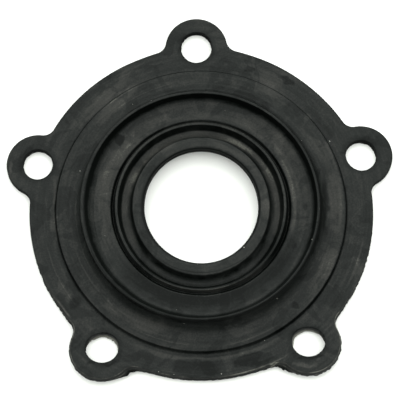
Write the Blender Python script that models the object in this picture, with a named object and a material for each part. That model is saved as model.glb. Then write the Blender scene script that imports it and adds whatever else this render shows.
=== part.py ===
# Flange gasket of a storage water heater: one moulded rubber piece.
# A stepped and ribbed crown rings the bore, and five ears on the flange take the studs.
# Metres, +Z up. The flange lies on z = 0 and the crown stands up from it.

import math

import bmesh
import bpy
from mathutils import Vector

mm = 0.001

# Bore bead, the collar that grips the fitting in the middle
bore_radius = 17.45 * mm
bead_top_width = 3.45 * mm
bead_nose_round = 1.1 * mm
bead_edge_round = 0.5 * mm
bead_wall_run = 0.55 * mm
bead_height = 3.2 * mm
bead_foot_round = 2.0 * mm
bead_nose_depth = 3.8 * mm
bead_relief_run = 1.4 * mm

# Moat, the low ring between the bead and the rib
moat_width = 2.8 * mm
moat_round = 0.7 * mm
moat_depth = 3.2 * mm

# Rib, the narrow ridge round the moat
rib_wall_run = 0.85 * mm
rib_top_width = 0.8 * mm
rib_height = 1.15 * mm
rib_round = 0.4 * mm

# Groove between the rib and the dish
groove_wall_run = 0.7 * mm
groove_width = 0.2 * mm
groove_depth = 1.75 * mm
groove_round = 0.15 * mm

# Dish, the wide ring that falls gently from the groove to the lip
dish_width = 6.95 * mm
dish_fall = 0.35 * mm
dish_brim_round = 0.6 * mm
dish_edge_round = 1.9 * mm

# Lip, the tallest ridge, with a skirt that sweeps down to the shoulder
lip_wall_run = 0.95 * mm
lip_top_width = 0.8 * mm
lip_height = 3.4 * mm
lip_round = 0.4 * mm
skirt_run = 0.5 * mm
skirt_height = 5.6 * mm
skirt_sweep = 4.2 * mm

# Shoulder, the flat ring between the skirt and the step
shoulder_width = 7.6 * mm
shoulder_round = 0.3 * mm
step_run = 0.45 * mm
step_height = 1.5 * mm
step_foot_round = 0.9 * mm

# Flange, the flat that is clamped, with its bolt ears
flange_width = 8.05 * mm
flange_thickness = 2.8 * mm
flange_edge = 0.3 * mm
ear_count = 5
ear_radius = 9.8 * mm
ear_blend = 3.6 * mm
hole_radius = 4.75 * mm
hole_inset = 0.3 * mm

# Underside, hollow below the crown
membrane = 2.4 * mm
skirt_thickness = 2.4 * mm
under_round = 0.4 * mm

# How finely the round forms are faceted
crown_steps = 72
ear_steps = 14
blend_steps = 5
rim_steps = 10
hole_steps = 20
round_chord = 0.4 * mm
round_turn = math.radians(16)
weld_gap = 0.001 * mm

# Radii, worked outward from the bore
bead_edge_radius = bore_radius + bead_top_width
bead_foot_radius = bead_edge_radius + bead_wall_run
rib_inner_foot_radius = bead_foot_radius + moat_width
rib_inner_radius = rib_inner_foot_radius + rib_wall_run
rib_outer_radius = rib_inner_radius + rib_top_width
groove_inner_radius = rib_outer_radius + groove_wall_run
groove_outer_radius = groove_inner_radius + groove_width
dish_radius = groove_outer_radius + groove_wall_run
dish_edge_radius = dish_radius + dish_width
lip_inner_radius = dish_edge_radius + lip_wall_run
lip_outer_radius = lip_inner_radius + lip_top_width
skirt_foot_radius = lip_outer_radius + skirt_run
shoulder_radius = skirt_foot_radius + shoulder_width
step_foot_radius = shoulder_radius + step_run
flat_radius = step_foot_radius + step_foot_round
rim_radius = step_foot_radius + flange_width
hole_circle_radius = rim_radius - hole_inset

# Heights, worked up from the flange and down again into the crown
shoulder_level = flange_thickness + step_height
lip_level = shoulder_level + skirt_height
dish_edge_level = lip_level - lip_height
dish_level = dish_edge_level + dish_fall
groove_level = dish_level - groove_depth
rib_level = dish_level + rib_height
moat_level = rib_level - moat_depth
bead_level = moat_level + bead_height
bead_nose_level = bead_level - bead_nose_depth


def clear_scene():
    for item in list(bpy.data.objects):
        bpy.data.objects.remove(item, do_unlink=True)


def rubber_material():
    material = bpy.data.materials.new("black_rubber")
    material.use_nodes = True
    shader = material.node_tree.nodes["Principled BSDF"]
    shader.inputs["Base Color"].default_value = (0.028, 0.029, 0.029, 1.0)
    shader.inputs["Roughness"].default_value = 0.55
    shader.inputs["Metallic"].default_value = 0.0
    return material


# The turn of a path at one of its places
def turn_at(places, index):
    into = places[index] - places[index - 1]
    out = places[index + 1] - places[index]
    return into.angle(out)


# How far each rounding reaches along its walls; neighbours share a wall too short for both
def rounding_reaches(places, roundings):
    inner = range(1, len(places) - 1)
    wanted = [0] * len(places)
    for index in inner:
        wanted[index] = roundings[index] * math.tan(turn_at(places, index) / 2)
    reaches = list(wanted)
    for index in inner:
        for neighbour in (index - 1, index + 1):
            wall = (places[index] - places[neighbour]).length
            needed = wanted[index] + wanted[neighbour]
            if needed > wall:
                reaches[index] = min(reaches[index], wanted[index] * wall / needed)
    return reaches


# A corner of a path turned into a short arc
def rounded_corner(places, index, reach):
    corner = places[index]
    turn = turn_at(places, index)
    if turn == 0 or reach == 0:
        return [corner]
    into = (corner - places[index - 1]).normalized()
    out = (places[index + 1] - corner).normalized()
    radius = reach / math.tan(turn / 2)
    side = 1 if into.cross(out) > 0 else -1
    start = corner - into * reach
    spoke = Vector((into.y, -into.x)) * radius * side
    centre = start - spoke
    steps = max(1, round(min(radius * turn / round_chord, turn / round_turn)))
    return [centre + rotated(spoke, side * turn * step / steps) for step in range(steps + 1)]


def rotated(vector, angle):
    cos, sin = math.cos(angle), math.sin(angle)
    return Vector((vector.x * cos - vector.y * sin, vector.x * sin + vector.y * cos))


# The section's path from corners of (radius from the axis, height, rounding)
def rounded_path(corners):
    places = [Vector((radius, level)) for radius, level, rounding in corners]
    reaches = rounding_reaches(places, [rounding for radius, level, rounding in corners])
    path = [places[0]]
    for index in range(1, len(places) - 1):
        path += rounded_corner(places, index, reaches[index])
    path.append(places[-1])
    return path


# Top of the crown, from the flange's flat inward to the bore
def crown_top():
    return [
        (flat_radius, flange_thickness, 0),
        (step_foot_radius, flange_thickness, step_foot_round),
        (shoulder_radius, shoulder_level, shoulder_round),
        (skirt_foot_radius, shoulder_level, skirt_sweep),
        (lip_outer_radius, lip_level, lip_round),
        (lip_inner_radius, lip_level, lip_round),
        (dish_edge_radius, dish_edge_level, dish_edge_round),
        (dish_radius, dish_level, dish_brim_round),
        (groove_outer_radius, groove_level, groove_round),
        (groove_inner_radius, groove_level, groove_round),
        (rib_outer_radius, rib_level, rib_round),
        (rib_inner_radius, rib_level, rib_round),
        (rib_inner_foot_radius, moat_level, moat_round),
        (bead_foot_radius, moat_level, bead_foot_round),
        (bead_edge_radius, bead_level, bead_edge_round),
        (bore_radius, bead_level, bead_nose_round),
    ]


# Underside of the crown, from the bore outward to the flange's flat
def crown_underside():
    cavity_radius = lip_outer_radius - skirt_thickness
    cavity_mouth_radius = skirt_foot_radius - skirt_thickness
    return [
        (bore_radius, bead_nose_level, under_round),
        (bore_radius + bead_relief_run, moat_level - membrane, under_round),
        (rib_inner_radius, moat_level - membrane, under_round),
        (groove_outer_radius, groove_level - membrane, under_round),
        (cavity_radius, dish_edge_level - membrane, under_round),
        (cavity_mouth_radius, 0, under_round),
        (flat_radius, 0, 0),
    ]


# The crown is spun from its section and stays open where the flange's flats meet it
def spin_crown(shell):
    path = rounded_path(crown_top() + crown_underside())
    points = [shell.verts.new((place.x, 0, place.y)) for place in path]
    edges = [shell.edges.new(pair) for pair in zip(points, points[1:])]
    bmesh.ops.spin(
        shell,
        geom=points + edges,
        cent=(0, 0, 0),
        axis=(0, 0, 1),
        angle=math.tau,
        steps=crown_steps,
        use_merge=True,
    )


def arc(centre, radius, start, end, steps):
    angles = [start + (end - start) * step / steps for step in range(steps + 1)]
    return [centre + Vector((math.cos(angle), math.sin(angle))) * radius for angle in angles]


# The flange's outline: each ear blends into the rim by two hollow arcs
def flange_outline(inset):
    rim = rim_radius - inset
    ear = ear_radius - inset
    blend = ear_blend + inset
    to_blend = rim + blend
    ear_to_blend = ear + blend
    circle = hole_circle_radius
    rim_turn = angle_between(circle, to_blend, ear_to_blend)
    ear_turn = angle_between(circle, ear_to_blend, to_blend)
    pitch = math.tau / ear_count
    outline = []
    for index in range(ear_count):
        heading = math.pi / 2 + index * pitch
        ear_centre = polar(circle, heading)
        first = polar(to_blend, heading - rim_turn)
        last = polar(to_blend, heading + rim_turn)
        back = heading + math.pi
        outline += arc(first, blend, back - rim_turn, heading + ear_turn, blend_steps)[:-1]
        outline += arc(ear_centre, ear, back + ear_turn - math.tau, back - ear_turn, ear_steps)[:-1]
        outline += arc(last, blend, heading - ear_turn, back + rim_turn - math.tau, blend_steps)[:-1]
        outline += arc(Vector((0, 0)), rim, heading + rim_turn, heading + pitch - rim_turn, rim_steps)[:-1]
    return outline


# Angle at the corner of a triangle, from its two sides there and the side across
def angle_between(side, other_side, across):
    cos = (side**2 + other_side**2 - across**2) / (2 * side * other_side)
    return math.acos(cos)


def polar(radius, heading):
    return Vector((math.cos(heading), math.sin(heading))) * radius


def hole_outline(index, inset):
    centre = polar(hole_circle_radius, math.pi / 2 + index * math.tau / ear_count)
    return arc(centre, hole_radius - inset, 0, math.tau, hole_steps)[:-1]


def closed_loop(shell, outline, level):
    points = [shell.verts.new((place.x, place.y, level)) for place in outline]
    return [shell.edges.new(pair) for pair in zip(points, points[1:] + points[:1])]


# A wall round an outline, with its top and bottom edges eased
def upright_wall(shell, outline, ease):
    loops = [
        closed_loop(shell, outline(ease), flange_thickness),
        closed_loop(shell, outline(0), flange_thickness - flange_edge),
        closed_loop(shell, outline(0), flange_edge),
        closed_loop(shell, outline(ease), 0),
    ]
    for upper, lower in zip(loops, loops[1:]):
        bmesh.ops.bridge_loops(shell, edges=upper + lower)
    return loops[0], loops[-1]


# Edges left open at one level of the crown
def open_edges(shell, level):
    def lies_on_level(edge):
        return all(abs(vert.co.z - level) < weld_gap for vert in edge.verts)

    return [edge for edge in shell.edges if edge.is_boundary and lies_on_level(edge)]


def add_flange(shell):
    top_edges = open_edges(shell, flange_thickness)
    bottom_edges = open_edges(shell, 0)
    top, bottom = upright_wall(shell, flange_outline, flange_edge)
    top_edges += top
    bottom_edges += bottom
    for index in range(ear_count):
        top, bottom = upright_wall(shell, lambda inset: hole_outline(index, inset), -flange_edge)
        top_edges += top
        bottom_edges += bottom
    bmesh.ops.triangle_fill(shell, edges=top_edges, use_beauty=True)
    bmesh.ops.triangle_fill(shell, edges=bottom_edges, use_beauty=True)


def flange_gasket():
    shell = bmesh.new()
    spin_crown(shell)
    bmesh.ops.remove_doubles(shell, verts=shell.verts, dist=weld_gap)
    add_flange(shell)
    bmesh.ops.recalc_face_normals(shell, faces=shell.faces)
    mesh = bpy.data.meshes.new("flange_gasket")
    shell.to_mesh(mesh)
    shell.free()
    mesh.shade_smooth()
    mesh.set_sharp_from_angle(angle=math.radians(35))
    mesh.materials.append(rubber_material())
    gasket = bpy.data.objects.new("flange_gasket", mesh)
    bpy.context.collection.objects.link(gasket)
    return gasket


# The model's origin is under the middle of its outline, so the bore stands a little behind it
def outline_middle():
    reaches = [place.y for place in flange_outline(0)]
    return (max(reaches) + min(reaches)) / 2


def main():
    clear_scene()
    gasket = flange_gasket()
    gasket.location = (0, -outline_middle(), 0)


main()
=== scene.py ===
# Looks of the flange gasket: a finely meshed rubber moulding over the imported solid,
# with its finish, a pale floor, soft light and the camera.
import math

import bmesh
import bpy
from mathutils import Matrix, Vector, noise
from mathutils.bvhtree import BVHTree
from mathutils.geometry import delaunay_2d_cdt


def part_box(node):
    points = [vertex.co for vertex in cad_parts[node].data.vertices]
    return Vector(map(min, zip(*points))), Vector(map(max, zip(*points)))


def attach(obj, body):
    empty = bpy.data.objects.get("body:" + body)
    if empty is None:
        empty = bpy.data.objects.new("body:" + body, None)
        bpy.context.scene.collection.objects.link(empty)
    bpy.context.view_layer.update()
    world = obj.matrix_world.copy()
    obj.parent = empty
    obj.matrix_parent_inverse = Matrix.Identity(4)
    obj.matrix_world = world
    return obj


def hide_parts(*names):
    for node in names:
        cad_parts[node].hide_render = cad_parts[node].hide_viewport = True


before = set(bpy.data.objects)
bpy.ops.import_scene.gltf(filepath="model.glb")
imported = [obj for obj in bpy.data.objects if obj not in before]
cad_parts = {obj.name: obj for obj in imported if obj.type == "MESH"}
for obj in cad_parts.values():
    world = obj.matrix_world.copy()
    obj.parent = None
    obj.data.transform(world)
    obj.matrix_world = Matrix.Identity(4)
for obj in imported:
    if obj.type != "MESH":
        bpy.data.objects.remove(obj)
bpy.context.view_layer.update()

mm = 0.001
gasketNode = "flange_gasket"
lowCorner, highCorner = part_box(gasketNode)
print("frame loaded, gasket box in mm:", [round(v / mm, 2) for v in highCorner - lowCorner])


# The moulding, in mm. Each walk is a list of (run outward, climb, rounding of the corner reached).
gasket = dict(
    boreRadius=17.35,
    beadLevel=8.0,
    noseLevel=4.7,
    noseRound=1.2,
    noseUnderRound=0.4,
    topWalk=[
        (3.55, 0, 0.5),  # flat of the bead round the bore
        (0.55, -3.2, 2.0),  # bead wall, flaring into the moat
        (2.65, 0, 0.7),  # moat
        (1.0, 3.2, 0.4),  # rib, inner wall
        (0.8, 0, 0.4),  # rib crest
        (0.75, -2.9, 0.15),  # rib, outer wall
        (0.2, 0, 0.15),  # groove
        (0.7, 1.75, 0.6),  # brim of the dish
        (2.8, -0.4, 6),  # dish, falling from its brim
        (4.1, 0.05, 2.2),  # dish, level
        (0.95, 3.4, 0.4),  # lip, inner wall
        (0.8, 0, 0.4),  # lip crest
        (0.5, -5.4, 4.2),  # skirt, sweeping into the shoulder
        (4.0, -0.35, 12),  # shoulder, a shallow trough
        (3.6, 0.15, 0.3),
        (0.45, -1.5, 0.9),  # step down to the flange
        (0.9, 0, 0),  # start of the flange's flat
    ],
    underWalk=[
        (1.4, -2.3, 0.4),  # relief under the bead
        (6.35, 0, 0.4),
        (1.95, 0.75, 0.4),
        (6.75, 0.95, 0.4),  # roof of the cavity under the crown
        (0.4, -4.1, 0.4),  # cavity wall
        (11.45, 0, 0),
    ],
    flangeThickness=2.8,
    rimRadius=52.8,
    holeCircle=52.5,
    earRadius=9.8,
    earBlend=3.6,
    earCount=5,
    # Edges as the mould left them: ragged flash, longer at the front
    edgeRound=0.4,
    wallInset=0.12,
    flashReach=0.12,
    frontFlash=0.6,
    holeFlash=0.4,
    frontFade=(0.0, 0.5),  # towards the front, as a cosine: where the longer flash starts, and is full
    rimSeed=0.0,
    holeSeed=3.0,
    # Its slow swell: size, swing, middle, least; its teeth: size and swing, about a middle
    flashSwell=(14, 1.1, 0.6, 0.2),
    flashTeeth=[(1.3, 0.8), (0.55, 0.5)],
    flashMiddle=0.5,
    hollowRagged=0.25,  # share of the flash in the hollows that is ragged
    # Down the side wall from its eased edge: inset, height, share of the flash
    wallRows=[(0, 1.4, 0.15), (0, 0.65, 0.4), (0, 0.4, 1), (0.1, 0.1, 0.5), (0.3, 0, 0)],
    # Fineness of the mesh
    crownSteps=360,
    roundChord=0.15,
    roundTurn=6,
    flatChord=0.8,
    outlineChord=0.26,
    easeSteps=4,
    sheetSpacing=1.3,
    sheetMargin=0.6,  # share of the spacing left clear along an edge
    mergeDistance=0.002,
)


def moved(walk, start):
    corners = [start]
    for run, climb, rounding in walk:
        radius, level, before = corners[-1]
        corners.append((radius + run, level + climb, rounding))
    return corners


def turnAt(places, index):
    return (places[index] - places[index - 1]).angle(places[index + 1] - places[index])


def roundedPath(corners, chord, turnLimit):
    places = [Vector(corner[:2]) for corner in corners]
    inner = range(1, len(places) - 1)
    wanted = [0] * len(places)
    for index in inner:
        wanted[index] = corners[index][2] * math.tan(turnAt(places, index) / 2)
    path = [places[0]]
    for index in inner:
        reach = wanted[index]
        for neighbour in (index - 1, index + 1):  # neighbours share a wall that is too short for both
            wall = (places[index] - places[neighbour]).length
            needed = wanted[index] + wanted[neighbour]
            if needed > wall:
                reach = min(reach, wanted[index] * wall / needed)
        turn = turnAt(places, index)
        into = (places[index] - places[index - 1]).normalized()
        out = (places[index + 1] - places[index]).normalized()
        side = 1 if into.cross(out) > 0 else -1
        radius = reach / math.tan(turn / 2)
        spoke = Vector((into.y, -into.x)) * radius * side
        centre = places[index] - into * reach - spoke
        steps = max(2, math.ceil(min(radius * turn / chord, turn / turnLimit)))
        for step in range(steps + 1):
            swing = Matrix.Rotation(side * turn * step / steps, 2)
            path.append(centre + swing @ spoke)
    path.append(places[-1])
    return path


def evenlySplit(path, chord):
    split = [path[0]]
    for start, end in zip(path, path[1:]):
        steps = max(1, round((end - start).length / chord))
        split += [start.lerp(end, step / steps) for step in range(1, steps + 1)]
    return split


def crownSection(g):
    top = moved(g["topWalk"], (g["boreRadius"], g["beadLevel"], g["noseRound"]))
    under = moved(g["underWalk"], (g["boreRadius"], g["noseLevel"], g["noseUnderRound"]))
    path = roundedPath(under[::-1] + top, g["roundChord"], math.radians(g["roundTurn"]))
    return evenlySplit(path, g["flatChord"])


def polar(radius, heading):
    return Vector((math.cos(heading), math.sin(heading))) * radius


def arc(centre, radius, start, end, chord):
    steps = max(2, math.ceil(abs(end - start) * radius / chord))
    return [centre + polar(radius, start + (end - start) * step / steps) for step in range(steps)]


def cornerAngle(side, otherSide, across):
    return math.acos((side**2 + otherSide**2 - across**2) / (2 * side * otherSide))


# The flange's outline: rim, ears and the hollow blends between them
def outlinePoints(g):
    rim, ear, blend, circle = g["rimRadius"], g["earRadius"], g["earBlend"], g["holeCircle"]
    chord = g["outlineChord"]
    rimTurn = cornerAngle(circle, rim + blend, ear + blend)
    earTurn = cornerAngle(circle, ear + blend, rim + blend)
    pitch = math.tau / g["earCount"]
    points = []
    for index in range(g["earCount"]):
        heading = math.pi / 2 + index * pitch
        back = heading + math.pi
        first, last = polar(rim + blend, heading - rimTurn), polar(rim + blend, heading + rimTurn)
        points += arc(first, blend, back - rimTurn, heading + earTurn, chord)
        points += arc(polar(circle, heading), ear, back + earTurn - math.tau, back - earTurn, chord)
        points += arc(last, blend, heading - earTurn, back + rimTurn - math.tau, chord)
        points += arc(Vector((0, 0)), rim, heading + rimTurn, heading + pitch - rimTurn, chord)
    return points


def holeCentre(g, index):
    return polar(g["holeCircle"], math.pi / 2 + index * math.tau / g["earCount"])


def holePoints(g, index):
    shiftX, shiftY, halfWidth, halfDepth = shape["holes"][index][:4]
    ring = arc(Vector((0, 0)), halfWidth, 0, math.tau, g["outlineChord"])
    centre = holeCentre(g, index) + Vector((shiftX, shiftY))
    return [Vector((centre.x + p.x, centre.y + p.y * halfDepth / halfWidth)) for p in ring]


# Outward normals of a closed run of points
def outwardNormals(points):
    normals = []
    for index, point in enumerate(points):
        along = points[(index + 1) % len(points)] - points[index - 1]
        normals.append(Vector((along.y, -along.x)).normalized())
    return normals


# Ragged flash that the trimmed mould seam left, in mm beyond the wall
def flashAt(point, g, seed, onRim):
    place = Vector((point.x, point.y, seed))
    size, swing, middle, least = g["flashSwell"]
    swell = min(1, max(least, noise.noise(place / size) * swing + middle))
    ragged = sum((noise.noise(place / tooth) * depth for tooth, depth in g["flashTeeth"]), g["flashMiddle"])
    ragged = min(1, max(0, ragged))
    if not onRim:
        return g["holeFlash"] * swell * ragged
    front = smooth(-point.y / point.length, *g["frontFade"])
    reach = (g["flashReach"] * (1 - front) + g["frontFlash"] * front) * swell * ragged
    for x, y, depth in shape["hollows"]:
        near = math.exp(-(((point - Vector((x, y))).length / shape["hollowSize"]) ** 2))
        reach += depth * near * (1 - g["hollowRagged"] + g["hollowRagged"] * ragged)
    return reach


# Loops of a side wall from the top sheet's edge down to the bottom sheet's edge
def wallLoops(g, points, seed, inset, lean):
    normals = outwardNormals(points)
    onRim = inset > 0
    thick, ease = g["flangeThickness"], g["edgeRound"]
    rows = []
    for step in range(g["easeSteps"] + 1):
        swing = math.pi / 2 * step / g["easeSteps"]
        rows.append((inset + ease * (1 - math.sin(swing)), thick - ease * (1 - math.cos(swing)), 0))
    rows += [(inset + extra, level, share) for extra, level, share in g["wallRows"]]
    loops = []
    for inward, level, share in rows:
        loop = []
        for point, normal in zip(points, normals):
            place = point + normal * (flashAt(point, g, seed, onRim) * share - inward)
            loop.append(Vector((place.x, place.y - lean * (1 - level / thick), level)))
        loops.append(loop)
    return loops


# A flat sheet between the outline, the holes and the crown, with points spread over it
def flatSheet(outline, holes, inner, level, g):
    loops = [outline, inner] + [hole[::-1] for hole in holes]
    points, edges, faces = [], [], []
    for loop in loops:
        first = len(points)
        points += [Vector(p[:2]) for p in loop]
        ring = list(range(first, len(points)))
        edges += list(zip(ring, ring[1:] + ring[:1]))
        faces.append(ring)
    points += sheetFill(g)
    made = delaunay_2d_cdt(points, edges, faces, 0, 1e-6)
    verts, tris, origin = made[0], made[2], made[5]
    kept = [tri for tri, source in zip(tris, origin) if list(source) == [0]]
    return [Vector((v.x, v.y, level)) for v in verts], kept


def sheetFill(g):
    gap = g["sheetSpacing"]
    inner = flatRadius(g) + gap
    margin = gap * g["sheetMargin"] + g["wallInset"] + g["edgeRound"]
    holeReach = max(max(hole) for hole in shape["holes"]) + margin
    holes = [holeCentre(g, index) for index in range(g["earCount"])]
    reach = g["holeCircle"] + g["earRadius"]
    rows = int(reach / gap) + 1
    fill = []
    for row in range(-rows, rows + 1):
        for column in range(-rows, rows + 1):
            place = Vector(((column + 0.5 * (row % 2)) * gap, row * gap * math.sqrt(3) / 2))
            fromHole = min((place - hole).length for hole in holes)
            onRim = place.length < g["rimRadius"] - margin
            onEar = fromHole < g["earRadius"] - margin
            if place.length > inner and (onRim or onEar) and fromHole > holeReach:
                fill.append(place)
    return fill


def flatRadius(g):
    return g["boreRadius"] + sum(run for run, climb, rounding in g["topWalk"])


def smooth(value, start, end):
    share = min(1, max(0, (value - start) / (end - start)))
    return share * share * (3 - 2 * share)


# How the soft piece really lies and was moulded, in mm from the bore's axis
shape = dict(
    # Ovals, as a share of the distance from the axis
    noseOval=0.03,
    beadOval=0.04,
    beadOvalRadius=21.5,
    ovalEnd=28.0,
    beadDrop=-0.1,
    noseShift=(0.1, 0.19),
    lipDepth=-0.006,
    lipWidth=0.0055,
    footWidth=-0.005,
    footShift=0.15,
    crestShift=-0.3,
    lipRadius=36.0,
    lipSpread=5.0,
    lipFoot=6.5,
    # The foot of the lip's inner wall stands wider at the back left: heading, spread in degrees, distance
    lipFootOut=(125, 26, 0.4),
    # The rib and the groove move only above the underside: level where that starts, and is full
    topLevels=(4.2, 5.0),
    # The groove outside the rib is shallower at the front and the back
    grooveRadius=26.7,
    grooveSpread=0.5,
    grooveLift=0.9,
    # The lip leans inward at the left, and its crest slopes there
    leanStart=32.3,
    leanFull=34.2,
    leanEase=35.0,
    leanEnd=36.1,
    lean=0.75,
    leanDrop=0.5,
    leanFade=(0.2, 0.7, 0.9),  # towards the back, as a sine: where it starts to fade, has faded, share lost
    # The rib lies a little left of the axis and wide of its drawn place
    ribRadius=25.5,
    ribSpread=1.6,
    ribGrowth=0.22,
    ribShift=-0.12,
    # The front of the flange curls up off the table
    bendStart=44.5,
    bendRun=4.0,
    bendAngle=8.6,
    bendFade=(0.2, 0.75),  # towards the front, as a cosine: where it starts, and is full
    rimShift=(0.1, -0.2),
    rimBand=9.0,  # inside the rim, where shifts of the rim and the ears fade out
    # Each ear from the back, then anticlockwise: shift in x and in y, beyond the rim's own
    ears=[(0.0, 0.33), (0.0, -0.18), (-0.68, -0.12), (0.52, -0.1), (-0.03, -0.17)],
    # Each hole, a little out of true: shift in x and in y, half width, half depth, lean to the front
    holes=[
        (0, 0.1, 4.85, 4.9, 0),
        (0, 0.1, 4.6, 4.7, 0),
        (0.1, 0.2, 4.92, 4.55, 0.6),
        (-0.05, 0.18, 4.92, 4.5, 0.6),
        (0, 0.1, 4.7, 4.8, 0),
    ],
    frontEars=(2, 3),
    # Flash left in the hollows beside the front ears: x, y, reach
    hollows=[(-22.9, -49.8, 1.6), (23.4, -48.9, 1.1)],
    hollowSize=2.9,
    # The rim is a little flat at the back right and the front: heading, spread in degrees, depth
    rimFlats=[(46, 20, 0.34), (270, 14, 0.09)],
    # From a hole's centre, an ear's shift is whole up to one distance and gone at the other
    earCalm=7.0,
    earFade=20.0,
)


# Degrees between a heading and the way a point lies from the axis
def turnFrom(heading, point):
    return math.degrees(polar(1, math.radians(heading)).angle_signed(Vector((point.x, point.y)), 0))


def ovalled(point, g):
    s = shape
    radius = math.hypot(point.x, point.y)
    crest = smooth(point.z, s["lipFoot"], highCorner.z / mm)
    lipShare = math.exp(-(((radius - s["lipRadius"]) / s["lipSpread"]) ** 2))
    beadShare = 1 - smooth(radius, s["beadOvalRadius"], s["ovalEnd"])
    nose = 1 - smooth(radius, g["boreRadius"], g["boreRadius"] + g["noseRound"])
    oval = s["beadOval"] + (s["noseOval"] - s["beadOval"]) * nose
    lipShift = s["footShift"] + (s["crestShift"] - s["footShift"]) * crest
    width = s["footWidth"] + (s["lipWidth"] - s["footWidth"]) * crest
    x = point.x + (lipShift + point.x * width) * lipShare
    y = point.y + point.y * (oval * beadShare + s["lipDepth"] * lipShare) + s["beadDrop"] * beadShare
    x += s["noseShift"][0] * nose
    y += s["noseShift"][1] * nose
    onWall = smooth(radius, s["leanStart"], s["leanFull"]) * (1 - smooth(radius, s["leanEase"], s["leanEnd"]))
    heading, spread, distance = s["lipFootOut"]
    footOut = distance * math.exp(-((turnFrom(heading, point) / spread) ** 2)) * (1 - crest) * onWall
    x += footOut * point.x / radius
    y += footOut * point.y / radius
    fadeStart, fadeEnd, fadeShare = s["leanFade"]
    back = fadeShare * smooth(point.y / radius, fadeStart, fadeEnd)
    lean = onWall * max(0, -point.x / radius) ** 2 * (1 - back)
    x += s["lean"] * lean
    z = point.z - s["leanDrop"] * lean * crest
    onTop = smooth(point.z, *s["topLevels"])
    ribShare = onTop * math.exp(-(((radius - s["ribRadius"]) / s["ribSpread"]) ** 2))
    x += (s["ribShift"] + s["ribGrowth"] * point.x / radius) * ribShare
    y += s["ribGrowth"] * point.y / radius * ribShare
    grooveShare = onTop * math.exp(-(((radius - s["grooveRadius"]) / s["grooveSpread"]) ** 2))
    return Vector((x, y, z + s["grooveLift"] * grooveShare * (point.y / radius) ** 2))


def earsShifted(point, g):
    x, y, z = point
    radius = math.hypot(x, y)
    onFlange = smooth(radius, g["rimRadius"] - shape["rimBand"], g["rimRadius"])
    flat = 0
    for heading, spread, depth in shape["rimFlats"]:
        flat += depth * onFlange * math.exp(-((turnFrom(heading, point) / spread) ** 2))
    x += shape["rimShift"][0] * onFlange - flat * point.x / radius
    y += shape["rimShift"][1] * onFlange - flat * point.y / radius
    for index, (shiftX, shiftY) in enumerate(shape["ears"]):
        centre = holeCentre(g, index)
        distance = math.hypot(point.x - centre.x, point.y - centre.y)
        near = onFlange * (1 - smooth(distance, shape["earCalm"], shape["earFade"]))
        x += shiftX * near
        y += shiftY * near
    return Vector((x, y, z))


# The front bends up round a line across it, first in an arc and then straight
def bentUp(point):
    s = shape
    radius = math.hypot(point.x, point.y)
    outward = max(0, radius - s["bendStart"])
    front = smooth(-point.y / radius, *s["bendFade"])
    arcShare = min(1, outward / s["bendRun"])
    angle = math.radians(s["bendAngle"]) * front * arcShare
    rise = angle * (outward - s["bendRun"] * arcShare / 2)
    inward = point.z * math.sin(angle) + outward * angle**2 / 2
    flat = Vector((point.x, point.y)) * (1 - inward / radius)
    return Vector((flat.x, flat.y, rise + point.z * math.cos(angle)))


def asItLies(point, g):
    return bentUp(earsShifted(ovalled(point, g), g))


def buildGasket(g):
    shell = bmesh.new()
    section = crownSection(g)
    steps = g["crownSteps"]
    rings = []
    for step in range(steps):
        heading = math.tau * step / steps
        ring = [shell.verts.new((p.x * math.cos(heading), p.x * math.sin(heading), p.y)) for p in section]
        rings.append(ring)
    for ring, following in zip(rings, rings[1:] + rings[:1]):
        for index in range(len(section) - 1):
            corners = (ring[index], following[index], following[index + 1], ring[index + 1])
            shell.faces.new(corners)
    print("crown meshed:", len(section), "section points by", steps)
    circle = [polar(flatRadius(g), math.tau * step / steps) for step in range(steps)]
    walls = [wallLoops(g, outlinePoints(g), g["rimSeed"], g["wallInset"], 0)]
    for index in range(g["earCount"]):
        lean = shape["holes"][index][4]
        walls.append(wallLoops(g, holePoints(g, index)[::-1], g["holeSeed"] + index, 0, lean))
    for loops in walls:
        rows = [[shell.verts.new(place) for place in loop] for loop in loops]
        for upper, lower in zip(rows, rows[1:]):
            for index in range(len(upper)):
                nextIndex = (index + 1) % len(upper)
                shell.faces.new((upper[index], lower[index], lower[nextIndex], upper[nextIndex]))
    for side, level in ((0, g["flangeThickness"]), (-1, 0)):
        edges = [loops[side] for loops in walls]
        places, tris = flatSheet(edges[0], edges[1:], circle, level, g)
        verts = [shell.verts.new(place) for place in places]
        for tri in tris:
            shell.faces.new([verts[corner] for corner in tri])
    bmesh.ops.remove_doubles(shell, verts=shell.verts, dist=g["mergeDistance"])
    loose = [vert for vert in shell.verts if not vert.link_faces]
    bmesh.ops.delete(shell, geom=loose, context="VERTS")
    bmesh.ops.recalc_face_normals(shell, faces=shell.faces)
    openEdges = sum(1 for edge in shell.edges if not edge.is_manifold)
    axis = Vector((0, boreAxisY(g), 0))
    for vert in shell.verts:
        vert.co = (asItLies(vert.co, g) + axis) * mm
    mesh = bpy.data.meshes.new("gasketMoulding")
    shell.to_mesh(mesh)
    shell.free()
    mesh.shade_smooth()
    piece = bpy.data.objects.new("gasketMoulding", mesh)
    bpy.context.scene.collection.objects.link(piece)
    triangles = sum(len(face.vertices) - 2 for face in mesh.polygons)
    print("gasket meshed:", triangles, "triangles,", openEdges, "open edges")
    return piece


def linear(hexColour):
    parts = [int(hexColour[at:at + 2], 16) / 255 for at in (1, 3, 5)]
    return [p / 12.92 if p <= 0.04045 else ((p + 0.055) / 1.055) ** 2.4 for p in parts] + [1]


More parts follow.
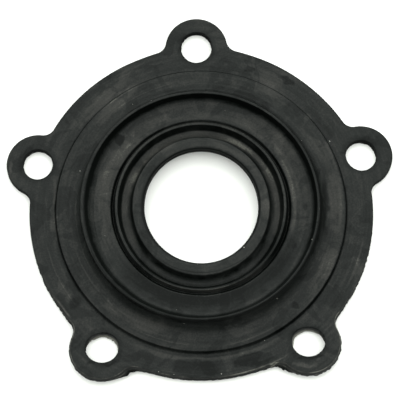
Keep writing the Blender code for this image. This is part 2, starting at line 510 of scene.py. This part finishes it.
# Adds a node and gives back the named output, or the first one in use. Inputs are values or other
# nodes' outputs, by name or in the order of the sockets in use.
def addNode(tree, kind, inputs=(), output=None, **settings):
    node = tree.nodes.new("ShaderNode" + kind)
    for name, value in settings.items():
        setattr(node, name, value)
    if not isinstance(inputs, dict):
        inUse = [number for number, socket in enumerate(node.inputs) if socket.enabled]
        inputs = dict(zip(inUse, inputs))
    for place, value in inputs.items():
        if isinstance(value, bpy.types.NodeSocket):
            tree.links.new(value, node.inputs[place])
        else:
            node.inputs[place].default_value = value
    return node.outputs[output] if output else next(socket for socket in node.outputs if socket.enabled)


# Black EPDM rubber, compression moulded: a satin skin that reflects little. Pale bloom has come out in
# cloudy patches, hands and rags have wiped others darker, and fine arcs of it follow the rings.
# Painted shade, painted light and painted highlights are added into the same tones, each named where it
# stands
rubber = dict(
    black="#161817",
    # Over the black: colour, tone where it starts, tone where it is full
    shades=[
        ("#2b2b29", 0, 1),  # bloom, and painted light in the grooves
        ("#020403", 0, -1),  # wiped, and painted shade
        ("#55554f", 1, 2),  # worn, and painted highlights
        ("#73736c", 2, 4),  # palest: the painted floor reflection on the front holes' walls, and the brightest painted highlights
    ],
    roughness=0.5,
    wallRoughness=0.95,
    wallSlopes=(0.1, 0.3),
    specular=0.09,
    ior=1.5,
    # Clouding: size in mm, fineness, twist, shift. The real grain is finer, and is drawn as coarse as shows
    clouding=dict(
        bloomed=(13.0, 6.0, 1.4, (0, 0, 0)),
        wiped=(9.0, 6.0, 1.0, (70, 30, 0)),
        dried=(22.0, 1.5, 0.4, (0, 0, 0)),
        # Patches for the painted edge highlight
        edgeHighlightPatches=(3.0, 3.0, 0.0, (0, 0, 0)),
        grain=(0.45, 1.0, 0.0, (0, 0, 0)),
    ),
    streakLength=16.0,
    streakWidth=0.9,
    streakDetail=4.0,
    grainSize=0.45,
    grainHeight=0.012,
    # Marks wander by a few mm, and thin arcs by less
    wobbleSize=4.0,
    wobbleDetail=3.0,
    markWobble=4.4,
    arcWobble=0.55,
    markDepth=1000.0,  # a mark reaches through every level
    arcCore=0.4,  # share of an arc's half width at full tone
    arcMiddle=0.6,  # share of its half turn at full tone
    # The painted shade on the front of the dish lies this way
    dishShadeFront=(0.1, -1, 0),
    # Tones are added up. Each is a product of ramps: what it hangs on, from, to, and the two ends' values
    tones=[
        [("bloomed", 0.5, 0.58, 0, 0.2)],
        [("wiped", 0.54, 0.57, 0, -0.4)],
        [("streaks", 0.35, 0.7, -0.22, 0.25)],
        [("dried", 0, 0.003, 0.35, 0)],  # pale lines where water dried
        [("grain", 0.3, 0.7, -0.25, 0.25)],
        # The rings inside the lip hold more bloom; the front of the dish has painted shade
        [("softRadius", 35.0, 33.5, 0, 0.25)],
        [("softRadius", 25.5, 24.3, 0, 0.35)],
        [("softRadius", 22.5, 21.5, 0, -0.55)],
        # Painted shade over the front of the dish and the rings inside it
        [("softFacing", 0.3, 0.65), ("softRadius", 34.3, 30.5), ("softRadius", 21.5, 22.5, 0, -1.2)],
        [("radius", 18.45, 18.0, 0, -1.3)],  # painted shade on the bore's rounded mouth
        [("fromHole", 6.6, 5.4, 0, -0.45)],  # washers have rubbed the holes' surrounds
        [("upward", 0.4, 0.9, -1.2, 0), ("facing", 0.2, 0.8, 1, 0.15)],  # painted shade on the steep walls, less of it at the front
        [("fromFrontHole", 5.6, 5.3), ("height", 2.7, 0.9, 0, 4.0)],  # painted reflection of the pale floor on the front holes' walls, paler lower down
        [("radius", 26.0, 26.2), ("radius", 26.9, 26.7), ("facing", 0.4, 0.9, 0, 1.6)],  # rib's outer wall and groove at the front: painted light
        [("radius", 26.6, 26.8), ("radius", 27.9, 27.6), ("facing", -0.4, -0.9, 0, 0.6)],  # groove and the brim's wall at the back: painted light
        [("radius", 33.6, 34.2), ("radius", 36.2, 35.8), ("facing", 0.3, 0.8, 0, -0.9)],  # lip at the front: painted shade
    ],
    # A painted highlight along the flange's rounded front edges, where they catch the light, in patches: more
    # so near the holes but not at their edges
    paintedEdgeHighlight=[
        ("upward", 0.3, 0.5), ("upward", 0.985, 0.9), ("radius", 48.5, 49.5), ("facing", 0.2, 0.5),
        ("fromFrontHole", 6.0, 7.0), ("height", 1.9, 2.3)],
    edgeHighlightBy=[("edgeHighlightPatches", 0.4, 0.65, 0.4, 1.5), ("fromFrontHole", 15.0, 11.0, 0, 0.5)],
    # Marks that can be told apart: x, y, half length, half width, heading, tone, softness
    marks=[
        (-30.4, 36.4, 12, 2.8, 47, 0.5, 0.5),
        (2.0, 40.6, 13, 1.8, 0, 0.2, 0.7),
        (-27.8, 41.8, 5, 2.0, 38, -0.5, 0.4),
        (28.0, 40.9, 2.1, 1.2, -25, -0.9, 0.3),
        (16.8, 44.6, 1.7, 0.9, -15, -0.7, 0.4),
        (22.5, 41.5, 4.5, 2.0, -25, 0.5, 0.6),
        (-3.2, -49.0, 7.0, 2.9, -4, -0.6, 0.2),
        (14.3, -47.3, 6.3, 2.4, 9, -0.6, 0.2),
        (6.2, -48.8, 1.8, 2.8, -25, 0.25, 0.5),
        (-39.1, -27.9, 2.0, 2.3, 0, -0.7, 0.4),
        (46.7, -22.1, 5.5, 1.0, 72, 0.5, 0.6),
        (-42.0, -24.3, 3.2, 1.6, -55, 0.5, 0.6),
        (-25.5, 33.8, 8.5, 2.0, 45, 0.6, 0.3),
        (20.5, 38.0, 5.2, 2.0, -27, 0.35, 0.6),
        (36.5, 20.3, 8.5, 3.0, -62, 0.5, 0.7),
        (41.2, 1.0, 9, 2.0, 90, 0.6, 0.6),
        (37.5, -20.6, 9, 3.0, 62, 0.6, 0.7),
        (27.4, -31.4, 1.2, 0.9, 0, -0.8, 0.5),
        (-18.4, -34.8, 8, 2.2, -28, 0.55, 0.6),
        (10.3, -39.8, 5.2, 2.2, 15, 0.3, 0.6),
        (-31.3, -27.2, 2.2, 1.3, -55, -0.6, 0.5),
        (-24.4, 22.2, 1.7, 1.5, 0, -1.6, 0.3),
        (25.4, 18.7, 5.0, 2.5, -45, 0.4, 0.5),
        (32.4, -0.5, 0.8, 0.8, 0, -0.8, 0.6),
        (27.2, -11.4, 1.6, 2.6, 0, -0.4, 0.7),
        (18.9, -3.6, 0.8, 2.2, -10, -0.5, 0.8),
        (37.9, 0.0, 9, 0.9, 90, -0.9, 0.8),
        (29.3, -49.2, 3.2, 0.5, -12, 0.9, 0.9),
        (20.4, -48.5, 1.2, 0.35, 15, 1.9, 0.6),
        (33.6, -48.0, 0.6, 0.4, 30, 0.8, 0.9),
        (19.4, 0.0, 5, 1.2, 90, 0.7, 0.6),
        (-44.9, 0.0, 10, 0.7, 90, 0.8, 0.8),
        (-29.3, -29.3, 5, 1.3, -45, 0.5, 0.6),
        (-58.0, 15.6, 2.2, 0.45, 95, 0.9, 0.8),
        # These two: painted shade on the rounded front edges of the front holes
        (-31.3, -47.1, 3.8, 0.5, 0, -1.6, 0.6),
        (31.4, -47.0, 3.8, 0.5, 0, -1.6, 0.6),
    ],
    # Thin arcs: radius, half width, heading of the middle, half the turn, tone
    arcs=[
        (40.3, 0.32, 216, 24, 0.4),
        # The next two: painted highlights, along the lip's crest and the dish's brim at the front
        (35.4, 0.14, 270, 68, 0.7),
        (27.9, 0.16, 270, 50, 1.2),
        (44.0, 0.3, 121, 12, 0.6),
        (41.2, 0.2, 115, 16, 0.5),
        (43.0, 0.25, 290, 14, 0.5),
        (50.4, 0.45, 340, 9, 0.55),
        (48.3, 0.2, 205, 14, 0.5),
        (29.3, 1.6, 40, 34, 0.3),
        (51.9, 0.4, 215, 4.5, 1.3),
        (28.5, 0.7, 0, 34, 0.6),
        (23.5, 0.9, 45, 30, 0.75),
        (46.6, 0.9, 270, 34, 0.6),
        # Painted shade on the skirt outside the lip's crest, at the back
        (39.3, 1.0, 85, 42, -0.45),
        (27.0, 0.3, 270, 48, 0.7),
        (52.2, 0.3, 288, 11, 1.2),
        (24.9, 0.35, 180, 50, -1.2),
        (27.6, 0.3, 90, 60, -0.8),
        (44.2, 0.3, 0, 32, -0.8),
        (44.6, 0.35, 90, 40, -0.7),
        (44.5, 0.6, 318, 26, -0.8),
        (21.9, 1.8, 135, 34, 0.5),
        (36.1, 0.3, 222, 26, -1.2),
        (23.3, 0.9, 270, 62, 0.5),
        (19.6, 0.9, 48, 30, 0.6),
        (20.95, 0.25, 270, 45, -0.8),
        (38.3, 0.25, 190, 26, 0.4),
        (35.1, 0.9, 180, 38, -1.0),
        (36.0, 0.6, 0, 45, -0.5),
        (37.4, 1.1, 90, 55, -0.5),
        (30.4, 2.3, 138, 42, 0.5),
        (42.4, 0.2, 254, 12, 0.5),
        (51.2, 0.25, 262, 8, 0.5),
    ],
)


# Where a point is on the piece, in mm from the bore's axis
def placeOnPiece(tree):
    own = addNode(tree, "TexCoord", output="Object")
    centred = addNode(tree, "VectorMath", [own, (0, boreAxisY(gasket) * mm, 0)], operation="SUBTRACT")
    return addNode(tree, "VectorMath", [centred, 1 / mm], operation="SCALE")


# A place without its height, how far it is from the axis, and which way
def fromAxis(tree, place):
    flat = addNode(tree, "VectorMath", [place, (1, 1, 0)], operation="MULTIPLY")
    radius = addNode(tree, "VectorMath", [flat], operation="LENGTH")
    return flat, radius, addNode(tree, "VectorMath", [flat], operation="NORMALIZE")


# Streaks that follow the rings: stretched round the axis, close together outward
def streaksAt(tree, radius, direction, r):
    length = gasket["holeCircle"] / r["streakLength"]
    along = addNode(tree, "VectorMath", [direction, length], operation="SCALE")
    rings = addNode(tree, "Math", [radius, r["streakWidth"]], operation="DIVIDE")
    outward = addNode(tree, "CombineXYZ", {"Z": rings})
    place = addNode(tree, "VectorMath", [along, outward], operation="ADD")
    return addNode(tree, "TexNoise", {"Vector": place, "Scale": 1.0, "Detail": r["streakDetail"]})


def markTone(tree, place, mark, depth):
    x, y, halfLength, halfWidth, heading, tone, softness = mark
    turned, size = (0, 0, math.radians(heading)), (halfLength, halfWidth, depth)
    own = addNode(tree, "Mapping", [place, (x, y, 0), turned, size], vector_type="TEXTURE")
    distance = addNode(tree, "VectorMath", [own], operation="LENGTH")
    return addNode(tree, "MapRange", [distance, 1 + softness / 2, 1 - softness / 2, 0, tone])


# A thin pale or dark arc round the axis
def arcTone(tree, radius, direction, arcMark, r):
    reach, halfWidth, heading, halfTurn, tone = arcMark
    middle = polar(1, math.radians(heading)).to_3d()
    along = addNode(tree, "VectorMath", [direction, middle], operation="DOT_PRODUCT")
    offset = addNode(tree, "Math", [radius, reach], operation="SUBTRACT")
    across = addNode(tree, "Math", [offset], operation="ABSOLUTE")
    band = addNode(tree, "MapRange", [across, halfWidth, halfWidth * r["arcCore"], 0, tone])
    end, full = math.radians(halfTurn), math.radians(halfTurn * r["arcMiddle"])
    ends = addNode(tree, "MapRange", [along, math.cos(end), math.cos(full)])
    return addNode(tree, "Math", [band, ends], operation="MULTIPLY")


# What the tones hang on: the clouding, and where a spot is on the piece
def measuresAt(tree, place, soft, upward, r):
    measures = {}
    for name, (size, fineness, twist, shift) in r["clouding"].items():
        shifted = addNode(tree, "VectorMath", [place, shift], operation="ADD")
        measures[name] = addNode(tree, "TexNoise", {
            "Vector": shifted, "Scale": 1 / size, "Detail": fineness, "Distortion": twist})
    offMiddle = addNode(tree, "Math", [measures["dried"], 0.5], operation="SUBTRACT")
    measures["dried"] = addNode(tree, "Math", [offMiddle], operation="ABSOLUTE")
    flat, radius, direction = fromAxis(tree, place)
    measures["streaks"] = streaksAt(tree, radius, direction, r)
    measures["upward"] = upward
    measures["height"] = addNode(tree, "SeparateXYZ", [place], output="Z")
    measures["radius"] = radius
    measures["facing"] = addNode(tree, "VectorMath", [direction, (0, -1, 0)], operation="DOT_PRODUCT")
    measures["softRadius"], softDirection = fromAxis(tree, soft)[1:]
    softFacing = addNode(tree, "VectorMath", [softDirection, r["dishShadeFront"]], operation="DOT_PRODUCT")
    measures["softFacing"] = softFacing
    gaps = []
    for index in range(gasket["earCount"]):
        hole = holeCentre(gasket, index).to_3d()
        gaps.append(addNode(tree, "VectorMath", [flat, hole], operation="DISTANCE"))
    nearest = gaps[0]
    for gap in gaps[1:]:
        nearest = addNode(tree, "Math", [nearest, gap], operation="MINIMUM")
    measures["fromHole"] = nearest
    frontGaps = [gaps[index] for index in shape["frontEars"]]
    measures["fromFrontHole"] = addNode(tree, "Math", frontGaps, operation="MINIMUM")
    return measures


# How far each spot is from plain black: above zero bloom, wear and painted light; below zero wiped dark
# patches and painted shade
def skinTone(tree, place, upward, r):
    wander = addNode(tree, "TexNoise", {
        "Vector": place, "Scale": 1 / r["wobbleSize"], "Detail": r["wobbleDetail"]}, output="Color")
    wander = addNode(tree, "VectorMath", [wander, (0.5, 0.5, 0.5)], operation="SUBTRACT")
    markWay = addNode(tree, "VectorMath", [wander, r["markWobble"]], operation="SCALE")
    markPlace = addNode(tree, "VectorMath", [place, markWay], operation="ADD")
    arcWay = addNode(tree, "VectorMath", [wander, r["arcWobble"]], operation="SCALE")
    arcPlace = addNode(tree, "VectorMath", [place, arcWay], operation="ADD")
    arcRadius, arcDirection = fromAxis(tree, arcPlace)[1:]
    tones = [markTone(tree, markPlace, mark, r["markDepth"]) for mark in r["marks"]]
    tones += [arcTone(tree, arcRadius, arcDirection, arcMark, r) for arcMark in r["arcs"]]
    measures = measuresAt(tree, place, markPlace, upward, r)
    for ramps in r["tones"] + [r["paintedEdgeHighlight"] + [by] for by in r["edgeHighlightBy"]]:
        product = 1.0
        for measure, *ends in ramps:
            share = addNode(tree, "MapRange", [measures[measure], *ends])
            product = addNode(tree, "Math", [product, share], operation="MULTIPLY")
        tones.append(product)
    total = 0.0
    for tone in tones:
        total = addNode(tree, "Math", [total, tone], operation="ADD")
    return total


def mouldedRubber(r):
    material = bpy.data.materials.new("mouldedRubber")
    material.use_nodes = True
    tree = material.node_tree
    shader = tree.nodes["Principled BSDF"]
    place = placeOnPiece(tree)
    normal = addNode(tree, "TexCoord", output="Normal")
    upward = addNode(tree, "SeparateXYZ", [normal], output="Z")
    tone = skinTone(tree, place, upward, r)
    colour = linear(r["black"])
    for shade, start, full in r["shades"]:
        share = addNode(tree, "MapRange", [tone, start, full])
        colour = addNode(tree, "Mix", [share, colour, linear(shade)], data_type="RGBA")
    tree.links.new(colour, shader.inputs["Base Color"])
    grain = addNode(tree, "TexNoise", {"Vector": place, "Scale": 1 / r["grainSize"]})
    bumped = addNode(tree, "Bump", {"Height": grain, "Distance": r["grainHeight"] * mm, "Strength": 1.0})
    tree.links.new(bumped, shader.inputs["Normal"])
    roughness = addNode(tree, "MapRange", [upward, *r["wallSlopes"], r["wallRoughness"], r["roughness"]])
    tree.links.new(roughness, shader.inputs["Roughness"])
    shader.inputs["Specular IOR Level"].default_value = r["specular"]
    shader.inputs["IOR"].default_value = r["ior"]
    return material


# Pale matte table paper, bright enough to burn out to white
floor = dict(
    colour="#e6e6e4",
    roughness=0.9,
    specular=0.1,
    fibreSize=1.5,  # mm, as the fibre height and the gap are
    fibreHeight=0.01,
    gap=0.05,
    halfWidth=3.0,  # m
)


def palePaper(f):
    material = bpy.data.materials.new("palePaper")
    material.use_nodes = True
    tree = material.node_tree
    shader = tree.nodes["Principled BSDF"]
    place = addNode(tree, "TexCoord", output="Object")
    fibres = addNode(tree, "TexNoise", {"Vector": place, "Scale": 1 / (f["fibreSize"] * mm)})
    bumped = addNode(tree, "Bump", {"Height": fibres, "Distance": f["fibreHeight"] * mm})
    tree.links.new(bumped, shader.inputs["Normal"])
    shader.inputs["Base Color"].default_value = linear(f["colour"])
    shader.inputs["Roughness"].default_value = f["roughness"]
    shader.inputs["Specular IOR Level"].default_value = f["specular"]
    return material


def layFloor(f):
    half = f["halfWidth"]
    mesh = bpy.data.meshes.new("paleFloor")
    corners = [(-half, -half, 0), (half, -half, 0), (half, half, 0), (-half, half, 0)]
    mesh.from_pydata(corners, [], [(0, 1, 2, 3)])
    sheet = bpy.data.objects.new("paleFloor", mesh)
    sheet.location.z = -f["gap"] * mm
    mesh.materials.append(palePaper(f))
    bpy.context.scene.collection.objects.link(sheet)


# Soft light: a ceiling of diffusing cloth, hung a little to the back, in a dim room. In m and W
light = dict(
    place=(0.1, 0.6, 1.5),
    size=(6.0, 5.0),
    power=290.0,
    colour="#fbfffb",
    room=0.05,
)


def hangLight(l):
    lamp = bpy.data.lights.new("ceiling", "AREA")
    lamp.shape = "RECTANGLE"
    lamp.size, lamp.size_y = l["size"]
    lamp.energy = l["power"]
    lamp.color = linear(l["colour"])[:3]
    holder = bpy.data.objects.new("ceiling", lamp)
    bpy.context.scene.collection.objects.link(holder)
    holder.location = l["place"]
    holder.rotation_euler = Vector(l["place"]).to_track_quat("Z", "Y").to_euler()
    world = bpy.data.worlds.new("dimRoom")
    bpy.context.scene.world = world
    world.use_nodes = True
    world.node_tree.nodes["Background"].inputs["Color"].default_value = (1, 1, 1, 1)
    world.node_tree.nodes["Background"].inputs["Strength"].default_value = l["room"]


# The camera looks down on the piece from the front, as the photograph was taken
camera = dict(
    tilt=15.2,  # degrees from straight down
    roll=1.69,
    imageSize=400,
    distancePixels=1977,
    pixelSize=0.3068,  # mm on the flange's top
    aimUp=9.8,  # pixels from the bore's axis to the picture's middle
    aimRight=-0.99,
    sensor=36.0,
    farClip=20.0,  # m
)


def setCamera(c, g):
    tilt, roll = math.radians(c["tilt"]), math.radians(c["roll"])
    up = Vector((math.sin(roll), math.cos(roll), 0))
    right = Vector((math.cos(roll), -math.sin(roll), 0))
    pixel = c["pixelSize"] * mm
    axisPoint = Vector((0, boreAxisY(g) * mm, g["flangeThickness"] * mm))
    aim = axisPoint + up * (c["aimUp"] * pixel / math.cos(tilt)) + right * (c["aimRight"] * pixel)
    back = -up * math.sin(tilt) + Vector((0, 0, math.cos(tilt)))
    matrix = Matrix((right, back.cross(right), back)).transposed().to_4x4()
    matrix.translation = aim + back * c["distancePixels"] * pixel
    lens = bpy.data.cameras.new("camera")
    lens.sensor_width = c["sensor"]
    lens.lens = c["distancePixels"] / c["imageSize"] * c["sensor"]
    lens.clip_end = c["farClip"]
    holder = bpy.data.objects.new("camera", lens)
    bpy.context.scene.collection.objects.link(holder)
    holder.matrix_world = matrix
    bpy.context.scene.camera = holder


def boreAxisY(g):
    return highCorner.y / mm - g["holeCircle"] - g["earRadius"]


# Pale mineral grit from the heater, a few grains of it. Each in mm: x and y from the bore's axis, radius
grit = dict(
    grains=[
        (40.4, 20.7, 0.2), (35.8, -2.7, 0.14), (33.1, -12.1, 0.16), (12.6, -13.5, 0.2),
        (4.6, -51.2, 0.17), (22.0, -29.3, 0.13), (17.9, -41.3, 0.1), (-6.1, -36.1, 0.1),
        (-36.8, 13.0, 0.15), (-14.2, -50.0, 0.12), (-9.6, -50.9, 0.11), (-8.2, -31.8, 0.08),
        (-20.2, 34.1, 0.09), (-14.4, 34.9, 0.09), (31.6, 20.5, 0.09), (-29.4, -8.2, 0.08),
        (8.3, 30.4, 0.07),
    ],
    colour="#8f8e88",
    roughness=0.7,
    sink=0.35,  # share of a grain's width sunk in the skin
    lumpiness=0.35,
    fullness=0.9,
    headroom=1.2,  # times its radius, below the top of the solid
    facetSize=0.1,
    facetHeight=0.03,
    dropHeight=20,
)


def strewGrit(g, under):
    corners = [vert.co for vert in under.data.vertices]
    surface = BVHTree.FromPolygons(corners, [face.vertices for face in under.data.polygons])
    grains = bmesh.new()
    for index, (x, y, radius) in enumerate(g["grains"]):
        above = Vector((x, y + boreAxisY(gasket), g["dropHeight"])) * mm
        ground = surface.ray_cast(above, Vector((0, 0, -1)))[0] / mm
        level = min(ground.z + radius * (1 - 2 * g["sink"]), highCorner.z / mm - radius * g["headroom"])
        made = bmesh.ops.create_icosphere(grains, subdivisions=2, radius=radius)
        for vert in made["verts"]:
            lump = 1 + g["lumpiness"] * noise.noise(vert.co / radius + Vector((index, 0, 0)))
            vert.co = (vert.co * lump * g["fullness"] + Vector((ground.x, ground.y, level))) * mm
    mesh = bpy.data.meshes.new("mineralGrit")
    grains.to_mesh(mesh)
    grains.free()
    material = bpy.data.materials.new("mineralGrit")
    material.use_nodes = True
    tree = material.node_tree
    place = placeOnPiece(tree)
    facets = addNode(tree, "TexNoise", {"Vector": place, "Scale": 1 / g["facetSize"]})
    bumped = addNode(tree, "Bump", {"Height": facets, "Distance": g["facetHeight"] * mm, "Strength": 1.0})
    shader = tree.nodes["Principled BSDF"]
    tree.links.new(bumped, shader.inputs["Normal"])
    shader.inputs["Base Color"].default_value = linear(g["colour"])
    shader.inputs["Roughness"].default_value = g["roughness"]
    mesh.materials.append(material)
    strewn = bpy.data.objects.new("mineralGrit", mesh)
    bpy.context.scene.collection.objects.link(strewn)
    print("grit strewn:", len(g["grains"]), "grains")
    return strewn


piece = buildGasket(gasket)
piece.data.materials.append(mouldedRubber(rubber))
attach(piece, "root")
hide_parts(gasketNode)
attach(strewGrit(grit, piece), "root")
layFloor(floor)
hangLight(light)
setCamera(camera, gasket)
bpy.context.scene.view_settings.view_transform = "Standard"
print("materials, floor, light and camera set")
